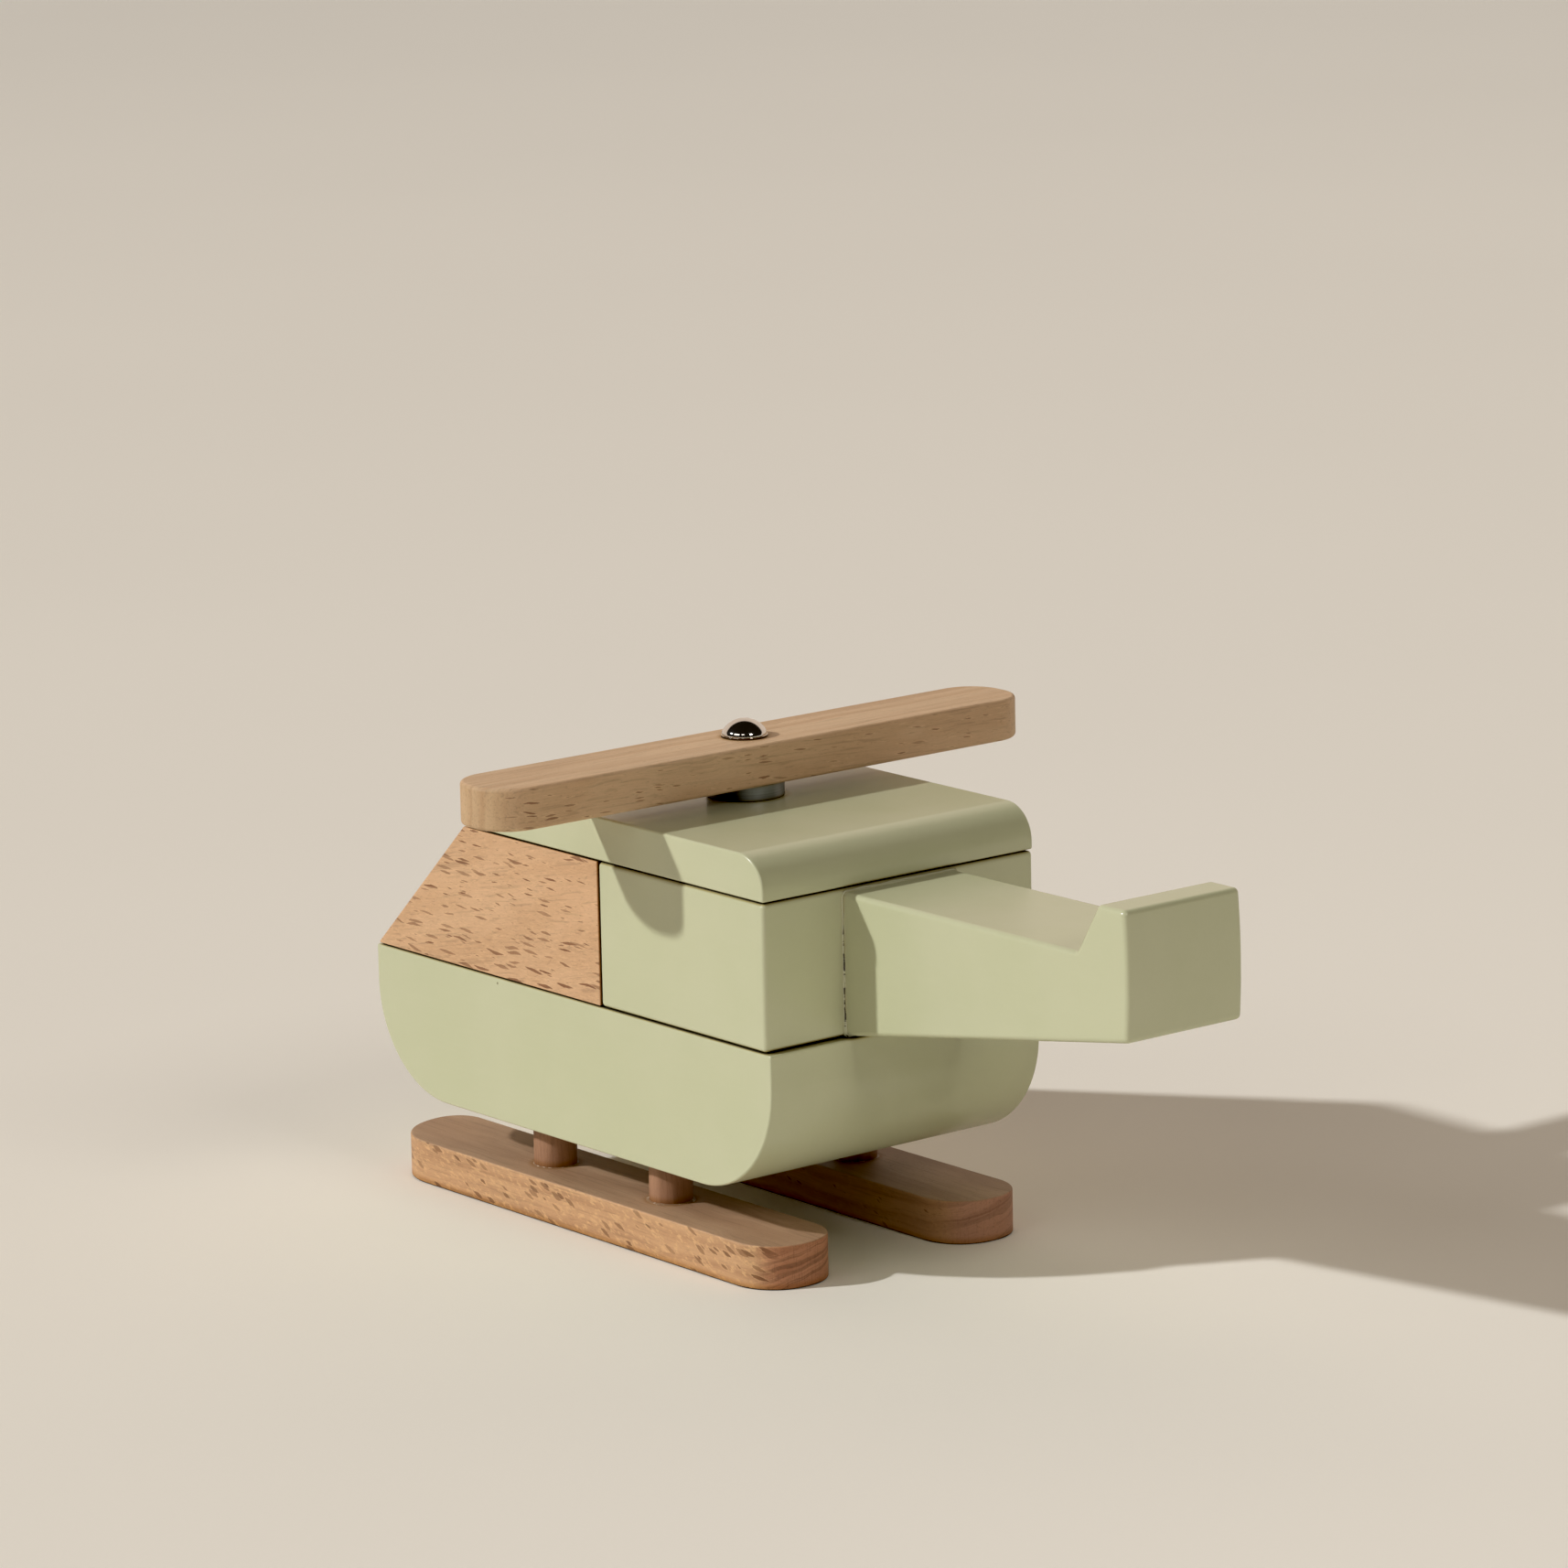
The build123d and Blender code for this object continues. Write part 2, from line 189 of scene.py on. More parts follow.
class Finish(Graph):
    """A graph for one material, with its place in millimetres and its output ready."""

    def __init__(self, name):
        self.material = bpy.data.materials.new(name)
        self.material.use_nodes = True
        super().__init__(self.material.node_tree)
        coordinates = self.node("TexCoord")
        scale = {0: coordinates.outputs["Object"], "Scale": 1.0 / mm}
        self.place = self.node("VectorMath", scale, operation="SCALE").outputs[0]
        self.normal = coordinates.outputs["Normal"]

    def axes(self):
        """The place along X, Y and Z."""
        return [self.dot(self.place, axis) for axis in Matrix.Identity(3)]

    def edges(self, reach):
        """1 on corners and 0 on flats, from how far the surface turns within reach."""
        soft = self.node("Bevel", {"Radius": reach}, samples=4).outputs[0]
        geometry = self.node("NewGeometry").outputs["Normal"]
        turned = self.node("VectorMath", {0: soft, 1: geometry}, operation="DOT_PRODUCT")
        return self.step(turned.outputs["Value"], 0.985, 0.80)

    def crevice_shade(self, colour, reach):
        """Painted shade: the colour gone brown at the mouths of seams and nearly black inside them.

        Also returns how shut in the surface is, from 0 in the open to 1 deep in a seam.
        """
        open_part = self.node("AmbientOcclusion", {"Distance": reach}, samples=12).outputs["AO"]
        shut = self.step(open_part, 0.60, 0.28)
        # Painted shade: brown at the mouths of seams, nearly black deep inside.
        shaded_mouth = self.mix(1.0, colour, painted_shade_tint, "MULTIPLY")
        colour = self.mix(self.times(self.step(open_part, 0.94, 0.66), 0.90), colour, shaded_mouth)
        return self.mix(self.times(shut, 0.96), colour, painted_seam_shade), shut

    def facing(self, direction, low, high):
        """1 where the surface faces along a direction or against it, and 0 where it is side on."""
        turned = self.dot(self.normal, Vector(direction).normalized())
        return self.step(self.math("ABSOLUTE", turned), low, high)

    def bump(self, height, depth, below=None):
        """A surface raised by height times depth, in metres, on top of another bump."""
        inputs = {"Height": height, "Distance": depth, "Strength": 1.0}
        if below is not None:
            inputs["Normal"] = below
        return self.node("Bump", inputs).outputs[0]

    def surface(self, **sockets):
        """The final shader. Sockets are named as the Principled node names them."""
        inputs = {key.replace("_", " "): value for key, value in sockets.items()}
        shader = self.node("BsdfPrincipled", inputs).outputs[0]
        self.node("OutputMaterial", {"Surface": shader})
        return self.material


# ---------------------------------------------------------------- wood


def beech(
    name, light, dark, fleck, grain, radial, rays,
    mottle=0.0, end_tint=(0.90, 0.72, 0.62), top_sheen_tint=(1.0, 1.0, 1.0), rings=0.0,
):
    """Bare beech as a solid: growth bands, fibres, pores and ray flecks.

    grain runs along the fibres and radial out across the growth bands. rays are the directions,
    sizes and share of the flecks. mottle is the strength of golden blotches between the rays.
    end_tint is what end grain multiplies the colour by, top_sheen_tint is a painted sheen that
    upward faces multiply the colour by, and rings is the strength of the growth rings on end grain.
    """
    wood = Finish(name)
    grain, radial = Vector(grain).normalized(), Vector(radial).normalized()
    tangent = grain.cross(radial).normalized()
    straight = [wood.dot(wood.place, axis) for axis in (grain, radial, tangent)]
    drift = wood.pattern(straight, (26.0, 9.0, 9.0))
    wander = wood.times(wood.add(drift, -0.5), 3.2)
    along = wood.dot(wood.place, grain)
    deep = wood.add(wood.dot(wood.place, radial), wander)
    across = wood.add(wood.dot(wood.place, tangent), wander)
    board = (along, deep, across)

    bands = wood.pattern(board, (70.0, 2.1, 34.0), detail=3.0, roughness=0.6)
    broad = wood.pattern(board, (40.0, 11.0, 16.0), 7.3)
    lines = wood.pattern(board, (22.0, 0.42, 0.55), 4.4, roughness=0.6)
    fibres = wood.pattern(board, (5.5, 0.26, 0.26), 3.1, detail=3.0, roughness=0.65)
    pores = wood.pattern(board, (1.1, 0.12, 0.12), 1.7, detail=1.0)
    pore_marks = wood.step(pores, 0.62, 0.74)

    flecks, halo, blotch = ray_flecks(wood, **rays)
    open_face = wood.facing(rays["deep"], 0.45, 0.80)
    flecks = wood.times(flecks, open_face)
    halo = wood.times(halo, open_face)
    upward = wood.facing((0.0, 0.0, 1.0), 0.60, 0.90)
    end_grain = wood.facing(grain, 0.35, 0.85)
    ring_lines = wood.step(wood.pattern(board, (60.0, 0.75, 40.0), 6.1), 0.52, 0.62)
    axes = wood.axes()
    ticks = wood.step(wood.pattern(axes, (0.22, 0.22, 3.5), 2.6), 0.54, 0.68)
    bright = tuple(min(1.0, channel * gain) for channel, gain in zip(light, (1.16, 1.20, 1.15)))

    body = wood.mix(wood.step(bands, 0.36, 0.70), light, dark)
    body = wood.scaled(body, wood.add(0.90, wood.times(broad, 0.20)))
    golden = wood.times(wood.step(blotch, 0.50, 0.66), wood.times(open_face, mottle))
    body = wood.mix(golden, body, bright)
    body = wood.mix(wood.times(halo, 0.40), body, bright)
    body = wood.mix(wood.times(flecks, 0.92), body, fleck)
    body = wood.scaled(body, wood.add(1.0, wood.times(wood.step(lines, 0.54, 0.68), -0.16)))
    body = wood.scaled(body, wood.add(0.87, wood.times(fibres, 0.26)))
    body = wood.scaled(body, wood.add(1.0, wood.times(pore_marks, -0.20)))
    body = wood.mix(end_grain, body, wood.mix(1.0, body, end_tint, "MULTIPLY"))
    end_marks = wood.add(wood.times(ring_lines, -0.60), wood.times(ticks, -0.30))
    end_marks = wood.times(wood.times(end_marks, rings), end_grain)
    body = wood.scaled(body, wood.add(1.0, end_marks))
    # Painted sheen: upward faces are tinted by top_sheen_tint.
    body = wood.mix(upward, body, wood.mix(1.0, body, top_sheen_tint, "MULTIPLY"))
    worn = wood.times(wood.edges(wood_edge), wood.step(broad, 0.30, 0.62))
    body = wood.mix(wood.times(worn, 0.30), body, tuple(min(1.0, c * 1.22) for c in light))
    # Painted shade in seams and corners.
    body, shut = wood.crevice_shade(body, gap_reach)

    rough = wood.add(0.50, wood.times(fibres, 0.14))
    rough = wood.add(rough, wood.times(flecks, -0.10))
    rough = wood.add(rough, wood.times(shut, 0.40))
    normal = wood.bump(fibres, 0.022 * mm)
    normal = wood.bump(pore_marks, -0.024 * mm, normal)
    normal = wood.bump(flecks, 0.022 * mm, normal)
    return wood.surface(Base_Color=body, Roughness=rough, Normal=normal, Specular_IOR_Level=0.36)


def ray_flecks(wood, along, deep, size, share):
    """The spindle-shaped rays of beech, the paler wood round them and the blotches between.

    The rays are long along the first direction, deepest along the second, and thin across both.
    """
    length, depth, thickness = size
    first = Vector(along).normalized()
    second = Vector(deep).normalized()
    third = first.cross(second).normalized()
    axes = [wood.dot(wood.place, axis) for axis in (first, second, third)]
    ragged = wood.pattern(axes, (0.9, 6.0, 0.13), 5.0, roughness=0.6)
    weave = wood.pattern(axes, (7.0, 9.0, 3.5), 2.0, detail=1.0)
    blotch_sizes = (0.9 * length, 2.0 * depth, 1.6 * thickness)
    blotch = wood.pattern(axes, blotch_sizes, 8.0, detail=3.0, roughness=0.6)
    axes[2] = wood.add(axes[2], wood.times(weave, 1.6))
    cells = wood.node(
        "TexVoronoi",
        {
            "Vector": wood.stretch(axes, (2.0 * length, 2.0 * depth, 2.5 * thickness)),
            "Scale": 1.0,
            "Randomness": 0.9,
            "Exponent": 1.35,
        },
        distance="MINKOWSKI",
    )
    draw = wood.node("SeparateColor", {0: cells.outputs["Color"]}).outputs
    chosen = wood.step(draw[0], 1.0 - share, 1.02 - share)
    reach = wood.times(chosen, wood.add(0.30, wood.times(draw[1], 0.24)))
    distance = wood.add(cells.outputs["Distance"], wood.times(wood.add(ragged, -0.5), 0.30))
    edge = wood.math("SUBTRACT", reach, distance)
    strength = wood.add(0.55, wood.times(draw[2], 0.45))
    flecks = wood.times(wood.step(edge, -0.01, 0.06), strength)
    return flecks, wood.times(wood.step(edge, -0.28, 0.02), chosen), blotch


# ---------------------------------------------------------------- paint


def paint(name, shift, pinholes=(), crack=None, reach=gap_reach, unshaded_side=None):
    """Sage milk paint on sanded beech: a faint ghost of the grain, mottling, and edges lightened
    partly by thin paint and partly by a painted highlight.

    shift moves the noise along, so that no two blocks have the same marks. A crack is an X and a Z:
    the paint has a broken dark crack in the plane at that X, below that Z. reach is how near a
    facing surface has to be to make a gap a crevice with painted shade. No painted shade falls on
    the flat that faces along unshaded_side. Sizes of noise are in millimetres.
    """
    coat = Finish(name)
    axes = coat.axes()
    cloud = coat.pattern(axes, 17.0, shift, detail=3.0, roughness=0.55)
    ghost = coat.pattern(axes, (24.0, 0.9, 0.9), shift, detail=3.0, roughness=0.6)
    grit = coat.pattern(axes, 0.5, shift)
    peel = coat.pattern(axes, 1.7, shift, detail=1.0)
    specks = coat.step(coat.pattern(axes, 0.42, shift + 9.0), 0.80, 0.86)

    body = coat.mix(coat.step(cloud, 0.32, 0.70), sage_deep, sage)
    body = coat.mix(coat.times(coat.step(ghost, 0.45, 0.80), 0.07), body, sage_pale)
    body = coat.scaled(body, coat.add(0.992, coat.times(grit, 0.016)))
    body = coat.mix(coat.times(specks, 0.12), body, sage_pale)
    edge = coat.edges(paint_edge)
    # Painted highlight on the rounded edges, together with thinner paint there: every edge is a little
    # paler.
    body = coat.mix(coat.times(edge, 0.42), body, sage_pale)
    thin = coat.pattern(axes, 2.6, shift + 4.0, detail=3.0, roughness=0.7)
    worn = coat.times(coat.step(edge, 0.55, 0.95), coat.step(thin, 0.66, 0.74))
    body = coat.mix(coat.times(worn, 0.65), body, bare_edge)
    # Painted shade in seams and corners, except on the flat that faces along unshaded_side.
    unshaded = body
    body, shut = coat.crevice_shade(body, reach)
    if unshaded_side is not None:
        flat = coat.step(coat.dot(coat.normal, unshaded_side), 0.90, 0.98)
        body = coat.mix(flat, body, unshaded)
        shut = coat.times(shut, coat.add(1.0, coat.times(flat, -1.0)))
    for point in pinholes:
        ends = {0: coat.place, 1: tuple(point / mm)}
        away = coat.node("VectorMath", ends, operation="DISTANCE").outputs["Value"]
        hole = coat.step(away, pinhole_radius / mm, pinhole_floor_radius / mm)
        body = coat.mix(coat.times(hole, 0.75), body, pinhole_brown)

    if crack is not None:
        crack_x, crack_top = [value / mm for value in crack]
        off = coat.math("ABSOLUTE", coat.add(axes[0], -crack_x))
        broken = coat.pattern(axes, (9.0, 9.0, 1.3), 5.0, detail=3.0, roughness=0.7)
        below = coat.step(axes[2], crack_top, crack_top - crack_fade / mm)
        parted = coat.times(coat.step(broken, 0.44, 0.52), below)
        line = coat.step(off, crack_half_width / mm, crack_dark_half_width / mm)
        body = coat.mix(coat.times(line, parted), body, painted_seam_shade)

    rough = coat.add(0.24, coat.times(cloud, 0.03))
    rough = coat.add(rough, coat.times(shut, 0.60))
    normal = coat.bump(peel, 0.005 * mm)
    normal = coat.bump(ghost, 0.004 * mm, normal)
    return coat.surface(Base_Color=body, Roughness=rough, Normal=normal, Specular_IOR_Level=0.55)


# ---------------------------------------------------------------- metal and glue


def metal(
    name, light, dark, rough, centre=None, streak=(0.5, 0.5, 0.5), depth=0.002 * mm,
    painted_dark_side=None, rim_reflection_below=None,
):
    """Bare or plated metal. With a centre, its fine marks run round that upright axis.

    It gets a painted dark reflection where it faces along painted_dark_side, and a painted brown
    reflection below rim_reflection_below.
    """
    plate = Finish(name)
    axes = plate.axes()
    if centre is not None:
        offset = {0: plate.place, 1: tuple(c / mm for c in centre)}
        away = plate.node("VectorMath", offset, operation="SUBTRACT").outputs[0]
        flat = plate.node("VectorMath", {0: away, 1: (1.0, 1.0, 0.0)}, operation="MULTIPLY").outputs[0]
        radius = plate.node("VectorMath", {0: flat}, operation="LENGTH").outputs["Value"]
        axes = [plate.times(axes[0], 0.02), radius, axes[2]]
    marks = plate.pattern(axes, streak, detail=3.0, roughness=0.7)
    smudge = plate.pattern(axes, 2.2, 3.0)
    body = plate.mix(plate.step(marks, 0.30, 0.75), dark, light)
    body = plate.scaled(body, plate.add(0.94, plate.times(smudge, 0.12)))
    if painted_dark_side is not None:
        # Painted reflection: nearly black on the side that faces along painted_dark_side.
        dark_side = plate.step(plate.dot(plate.normal, Vector(painted_dark_side).normalized()), -0.15, 0.30)
        body = plate.mix(plate.times(dark_side, 0.90), body, painted_dark_reflection)
    # Painted reflection: a dark brown band at the foot, below rim_reflection_below.
    if rim_reflection_below is not None:
        height = plate.dot(plate.place, (0.0, 0.0, 1.0))
        low = plate.step(height, rim_reflection_below / mm + 0.06, rim_reflection_below / mm - 0.06)
        body = plate.mix(plate.times(low, 0.90), body, painted_rim_reflection)
    # Painted shade in seams.
    body = plate.crevice_shade(body, metal_gap_reach)[0]
    roughness = plate.add(rough, plate.times(smudge, rough * 0.8))
    roughness = plate.add(roughness, plate.times(marks, rough * 0.5))
    normal = plate.bump(marks, depth)
    return plate.surface(Base_Color=body, Metallic=1.0, Roughness=roughness, Normal=normal)


def dried_glue():
    """Wood glue that dried round a dowel: brown where it is thin, with a few pale crumbs."""
    glue = Finish("dried_glue")
    axes = glue.axes()
    cloudy = glue.pattern(axes, 0.8, detail=3.0)
    fine = glue.pattern(axes, 0.2, detail=1.0)
    body = glue.mix(glue.step(cloudy, 0.54, 0.64), glue_brown, glue_pale)
    rough = glue.add(0.30, glue.times(fine, 0.25))
    normal = glue.bump(fine, 0.01 * mm)
    return glue.surface(Base_Color=body, Roughness=rough, Normal=normal, Specular_IOR_Level=0.5)


# ---------------------------------------------------------------- finishes of the CAD nodes

rotor_axis = (sum(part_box("rotor_axle"), Vector()) / 2).to_tuple()
cap_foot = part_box("rotor_cap")[0].z

# The paint has one pinhole, on the hull's port side just under the window.
hull_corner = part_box("hull_block")[1]
pinhole = hull_corner - Vector((pinhole_from_nose, 0.0, pinhole_from_top))

finishes = {
    "painted_hull": paint("sage_paint_hull", 0.0, [pinhole]),
    "painted_middle": paint("sage_paint_middle", 11.0, unshaded_side=(-1.0, 0.0, 0.0)),
    "painted_tail": paint("sage_paint_tail", 23.0, reach=0.3 * mm),
    "painted_roof": paint("sage_paint_roof", 37.0),
    "beech_window": beech(
        "beech_window_wood", (0.650, 0.412, 0.238), (0.585, 0.356, 0.196), (0.200, 0.076, 0.030),
        grain=(-0.985, 0.0, 0.17), radial=(0.10, 1.0, 0.22), mottle=0.35,
        rays={"along": (-0.999, 0.0, -0.03), "deep": (0.0, 1.0, 0.06),
              "size": (2.6, 9.0, 0.26), "share": 0.60},
    ),
    # The skid's top gets a painted grey sheen.
    "beech_skid": beech(
        "beech_skid_wood", (0.585, 0.347, 0.183), (0.460, 0.256, 0.130), (0.190, 0.082, 0.034),
        grain=(-1.0, 0.0, -0.06), radial=(0.0, 0.25, 1.0), mottle=0.90,
        end_tint=(0.84, 0.66, 0.66), top_sheen_tint=(0.84, 0.92, 1.10), rings=0.55,
        rays={"along": (-0.935, 0.0, -0.355), "deep": (0.0, 1.0, 0.1),
              "size": (1.8, 9.0, 0.40), "share": 0.42},
    ),
    "beech_strut": beech(
        "beech_strut_wood", (0.420, 0.232, 0.138), (0.290, 0.150, 0.084), (0.180, 0.082, 0.042),
        grain=(0.03, 0.02, 1.0), radial=(0.8, 0.6, 0.0),
        rays={"along": (0.0, 0.0, 1.0), "deep": (1.0, 0.2, 0.0),
              "size": (1.8, 4.0, 0.16), "share": 0.12},
    ),
    "beech_rotor": beech(
        "beech_rotor_wood", (0.672, 0.470, 0.290), (0.580, 0.376, 0.220), (0.280, 0.140, 0.075),
        grain=(0.02, 1.0, 0.03), radial=(1.0, 0.0, 0.12), end_tint=(0.84, 0.82, 0.76),
        rays={"along": (0.0, 1.0, 0.06), "deep": (1.0, 0.0, 0.0),
              "size": (2.0, 7.0, 0.20), "share": 0.22},
    ),
    "plug_wood": beech(
        "plug_wood_grain", (0.560, 0.380, 0.235), (0.460, 0.285, 0.165), (0.290, 0.150, 0.080),
        grain=(1.0, 0.3, 0.05), radial=(-0.3, 1.0, 0.0),
        rays={"along": (1.0, 0.3, 0.0), "deep": (0.0, 0.0, 1.0),
              "size": (1.6, 4.0, 0.35), "share": 0.50},
    ),
    "magnet_nickel": metal("nickel_plate", (0.66, 0.63, 0.58), (0.50, 0.48, 0.44), 0.22),
    # The spacer has a painted dark reflection on one side.
    "spacer_steel": metal(
        "turned_steel", (0.42, 0.45, 0.47), (0.28, 0.30, 0.32), 0.24, rotor_axis, (0.2, 0.12, 0.10),
        painted_dark_side=(0.624, 0.781, 0.0),
    ),
    "axle_steel": metal(
        "drawn_steel", (0.56, 0.55, 0.53), (0.42, 0.41, 0.40), 0.24, None, (0.12, 0.12, 3.0)
    ),
    # The cap has a painted reflection of the shaded blade round its foot.
    "cap_chrome": metal("chrome_plate", (0.74, 0.72, 0.70), (0.66, 0.64, 0.62), 0.05, None,
                        (1.6, 1.6, 1.6), 0.0012 * mm, rim_reflection_below=cap_foot + rim_reflection_height),
}

# The starboard skid gets a darker, plainer copy of the skid's beech: painted shade for the shade
# it stands in, with a painted bluish sheen on its top and end grain.
shaded_skid_copy = beech(
    "beech_skid_shaded_wood", (0.470, 0.262, 0.136), (0.360, 0.190, 0.098), (0.200, 0.088, 0.038),
    grain=(-1.0, 0.0, -0.06), radial=(0.0, 0.25, 1.0), mottle=0.30,
    end_tint=(1.02, 0.98, 1.20), top_sheen_tint=(0.92, 1.10, 1.32), rings=0.35,
    rays={"along": (-0.935, 0.0, -0.355), "deep": (0.0, 1.0, 0.1),
          "size": (1.5, 9.0, 0.30), "share": 0.12},
)

for name in sorted(nodes):
    for material_slot in nodes[name].material_slots:
        material_slot.material = finishes[material_slot.material.name]
nodes["skid_starboard"].material_slots[0].material = shaded_skid_copy


# ---------------------------------------------------------------- pieces made here


def mesh_piece(name, build, material, body):
    """One smooth mesh, drawn by build(bmesh) in the row frame, that rides on a body."""
    shape = bmesh.new()
    build(shape)
    bmesh.ops.recalc_face_normals(shape, faces=shape.faces)
    mesh = bpy.data.meshes.new(name)
    shape.to_mesh(mesh)
    shape.free()
    mesh.materials.append(material)
    mesh.polygons.foreach_set("use_smooth", [True] * len(mesh.polygons))
    piece = bpy.data.objects.new(name, mesh)
    bpy.context.scene.collection.objects.link(piece)
    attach(piece, body)
    return piece


def loft(shape, sections):
    """Faces between neighbouring loops of points, and from the last loop back to the first."""
    loops = [[shape.verts.new(point) for point in section] for section in sections]
    count = len(loops[0])
    for i, here in enumerate(loops):
        there = loops[(i + 1) % len(loops)]
        for j in range(count):
            k = (j + 1) % count
            shape.faces.new((here[j], here[k], there[k], there[j]))


def wobble(point, scale, seed):
    """A smooth random number from -1 to 1 that depends only on a place and a seed."""
    return noise.noise(Vector(point) / scale + Vector((seed * 7.13, seed * 3.71, seed * 1.37)))


def glue_ring(centre, radius, seed, thickness):
    """A thin uneven collar of glue round the foot of a dowel."""

    def build(shape):
        sections = []
        for i in range(ring_steps):
            angle = math.tau * i / ring_steps
            out = Vector((math.cos(angle), math.sin(angle), 0.0))
            swell = 0.55 + 0.9 * max(0.0, wobble(out, 0.7, seed)) + 0.25 * wobble(out, 0.2, seed)
            height = thickness * max(0.25, swell)
            width = 2.2 * height
            profile = [(-sunk, 0.0), (-sunk, height), (0.25 * width, 0.52 * height),
                       (0.6 * width, 0.18 * height), (width, 0.0), (0.5 * width, -sunk)]
            sections.append([centre + out * (radius + r) + Vector((0.0, 0.0, z)) for r, z in profile])
        loft(shape, sections)

    return build


glue = dried_glue()
ring_steps = 96
sunk = 0.02 * mm
skid_tops = {side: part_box(f"skid_{side}")[1].z for side in ("port", "starboard")}
glue_rings = [("front", "port", 0.12 * mm), ("rear", "port", 0.26 * mm),
              ("front", "starboard", 0.16 * mm), ("rear", "starboard", 0.12 * mm)]
for number, (end, side, thickness) in enumerate(glue_rings):
    low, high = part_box(f"strut_{end}_{side}")
    foot = Vector(((low.x + high.x) / 2, (low.y + high.y) / 2, skid_tops[side]))
    ring = glue_ring(foot, (high.x - low.x) / 2, number, thickness)
    mesh_piece(f"glue_ring_{end}_{side}", ring, glue, "hull")


def rounded_outline(half_width, low_z, high_z, radius, step):
    """Points and outward directions round an upright rectangle with round corners, in YZ."""
    corners = [
        (half_width - radius, high_z - radius, 0.0),
        (-half_width + radius, high_z - radius, 0.5 * math.pi),
        (-half_width + radius, low_z + radius, math.pi),
        (half_width - radius, low_z + radius, 1.5 * math.pi),
    ]
    walk = []
    for index, (y, z, start) in enumerate(corners):
        for i in range(corner_steps + 1):
            angle = start + 0.5 * math.pi * i / corner_steps
            out = Vector((0.0, math.cos(angle), math.sin(angle)))
            walk.append((Vector((0.0, y, z)) + out * radius, out))
        next_y, next_z, _ = corners[(index + 1) % 4]
        out = walk[-1][1]
        start_point = walk[-1][0]
        end_point = Vector((0.0, next_y, next_z)) + out * radius
        count = int((end_point - start_point).length / step)
        walk += [(start_point.lerp(end_point, (i + 1) / (count + 1)), out) for i in range(count)]
    return walk


# A bead of paint fills the corner where the tail boom is glued to the middle block. It is
# cracked in places, as a groove along the bead's boom side.
tail_low, tail_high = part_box("tail_boom")
middle_low, middle_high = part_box("middle_block")
tail_half_width = tail_high.y
tail_root_drop = 0.6 * mm
tail_ease = 1.0 * mm
boom_top = middle_high.z - tail_root_drop
bead_size = 0.42 * mm
bead_step = 0.35 * mm
bead_rooted = 0.05 * mm
groove_depth = 0.30 * mm
corner_steps = 6


def paint_bead(shape):
    sections = []
    for point, out in rounded_outline(tail_half_width, tail_low.z, boom_top, tail_ease, bead_step):
        swell = bead_size * (1.0 + 0.35 * wobble(point, 2.5 * mm, 1.0))
        cracked = max(0.0, min(1.0, 0.5 + 3.0 * wobble(point, 6.0 * mm, 2.0)))
        groove = cracked * groove_depth
        root = Vector((middle_low.x, 0.0, 0.0)) + point
        forward = Vector((1.0, 0.0, 0.0))
        profile = [
            (bead_rooted, -bead_rooted),
            (bead_rooted, swell),
            (-0.10 * mm, 0.62 * swell),
            (-0.40 * swell, 0.38 * swell),
            (-0.44 * swell, 0.38 * swell - groove),
            (-0.62 * swell - 0.7 * groove, 0.34 * swell - groove),
            (-0.64 * swell - 0.7 * groove, 0.30 * swell),
            (-1.35 * swell, 0.04 * mm),
            (-1.45 * swell, -bead_rooted),
        ]
        sections.append([root + forward * x + out * r for x, r in profile])
    loft(shape, sections)


crack_behind_block = 0.30 * mm
crack_under_top = 6.0 * mm
crack = (middle_low.x - crack_behind_block, middle_high.z - crack_under_top)
joint_paint = paint("sage_paint_joint", 11.0, crack=crack, reach=0.12 * mm)
mesh_piece("tail_joint_paint", paint_bead, joint_paint, "middle")


# ---------------------------------------------------------------- floor, light and camera


def seamless_paper():
    """A plain pale floor with the faintest cloudiness."""
    paper = Finish("seamless_paper")
    axes = paper.axes()
    cloud = paper.pattern(axes, 420.0)
    tooth = paper.pattern(axes, 0.8)
    body = paper.mix(1.0, floor_colour, paper.join(*[paper.add(0.975, paper.times(cloud, 0.05))] * 3),
                     "MULTIPLY")
    body = paper.scaled(body, paper.add(0.992, paper.times(tooth, 0.016)))
    normal = paper.bump(tooth, 0.01 * mm)
    return paper.surface(Base_Color=body, Roughness=0.9, Normal=normal, Specular_IOR_Level=0.1)


def make_floor():
    mesh = bpy.data.meshes.new("floor")
    half = floor_size / 2
    corners = [(-half, -half, 0.0), (half, -half, 0.0), (half, half, 0.0), (-half, half, 0.0)]
    mesh.from_pydata(corners, [], [(0, 1, 2, 3)])
    mesh.materials.append(seamless_paper())
    floor = bpy.data.objects.new("floor", mesh)
    bpy.context.scene.collection.objects.link(floor)


def make_surround():
    """A pale sweep on the far side and a dark room on the near side."""
    world = bpy.data.worlds.new("studio_surround")
    bpy.context.scene.world = world
    world.use_nodes = True
    room = Graph(world.node_tree)
    direction = room.node("TexCoord").outputs["Generated"]
    colour = room.mix(room.step(room.dot(direction, sweep_side), 0.0, 0.12), room_light, sweep_light)
    light = room.node("Background", {"Color": colour, "Strength": 1.0}).outputs[0]
    room.node("OutputWorld", {"Surface": light})


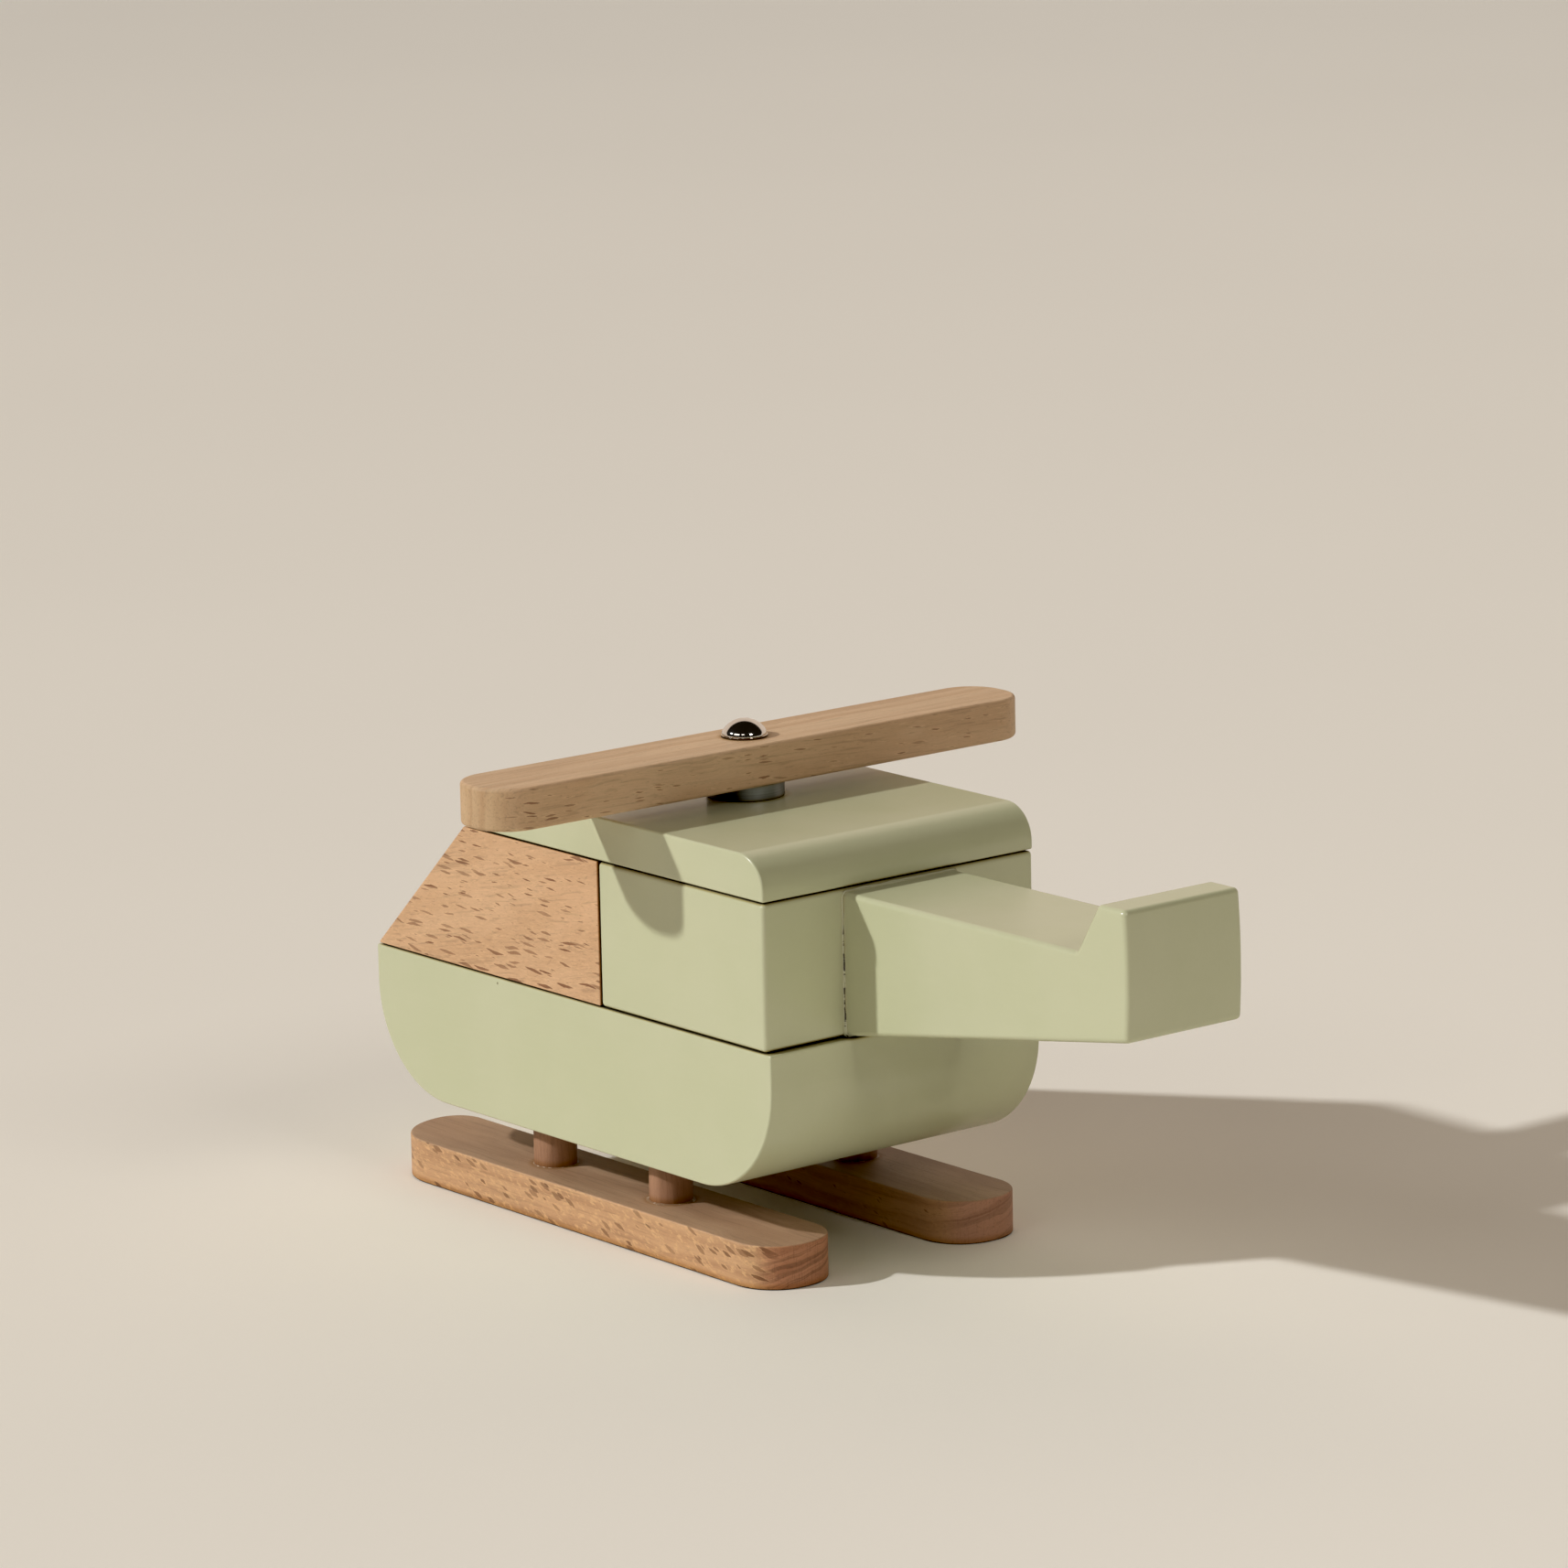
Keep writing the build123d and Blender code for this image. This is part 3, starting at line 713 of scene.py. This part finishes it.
def make_soft_boxes():
    for number, (direction, width, height, light) in enumerate(soft_boxes):
        lamp = bpy.data.lights.new(f"soft_box_{number}", "AREA")
        lamp.shape = "RECTANGLE"
        lamp.size = width
        lamp.size_y = height
        lamp.energy = light * (math.pi * box_distance) ** 2
        lamp.color = box_colour
        box = bpy.data.objects.new(lamp.name, lamp)
        box.rotation_euler = direction.to_track_quat("Z", "Y").to_euler()
        box.location = direction.normalized() * box_distance
        bpy.context.scene.collection.objects.link(box)


def make_ceiling():
    """The pale ceiling over the far half of the room, which lights the toy but isn't mirrored."""
    lamp = bpy.data.lights.new("ceiling", "AREA")
    lamp.shape = "RECTANGLE"
    lamp.size, lamp.size_y = ceiling_size
    lamp.energy = ceiling_light * (math.pi * box_distance) ** 2
    lamp.color = ceiling_colour
    ceiling = bpy.data.objects.new("ceiling", lamp)
    ceiling.rotation_euler = ceiling_direction.to_track_quat("Z", "Y").to_euler()
    ceiling.location = ceiling_direction.normalized() * box_distance
    ceiling.visible_glossy = False
    bpy.context.scene.collection.objects.link(ceiling)


def make_key():
    lamp = bpy.data.lights.new("key_lamp", "SUN")
    lamp.energy = key_strength
    lamp.color = key_colour
    lamp.angle = key_spread
    key = bpy.data.objects.new("key_lamp", lamp)
    key.rotation_euler = key_direction.to_track_quat("Z", "Y").to_euler()
    key.location = key_direction
    bpy.context.scene.collection.objects.link(key)


def make_camera():
    data = bpy.data.cameras.new("camera")
    data.sensor_width = sensor_width
    data.lens = camera_lens
    data.clip_start, data.clip_end = camera_range
    camera = bpy.data.objects.new("camera", data)
    forward = (camera_target - camera_place).normalized()
    right = forward.cross(Vector((0.0, 0.0, 1.0))).normalized()
    up = right.cross(forward)
    rolled_right = right * math.cos(camera_roll) + up * math.sin(camera_roll)
    rolled_up = up * math.cos(camera_roll) - right * math.sin(camera_roll)
    turn = Matrix((rolled_right, rolled_up, -forward)).transposed()
    camera.matrix_world = Matrix.Translation(camera_place) @ turn.to_4x4()
    bpy.context.scene.collection.objects.link(camera)
    bpy.context.scene.camera = camera


make_floor()
make_surround()
make_key()
make_soft_boxes()
make_ceiling()
make_camera()
view = bpy.context.scene.view_settings
view.view_transform = "Standard"
view.use_curve_mapping = True
view.curve_mapping.black_level = (black_level, black_level, black_level)
view.curve_mapping.update()
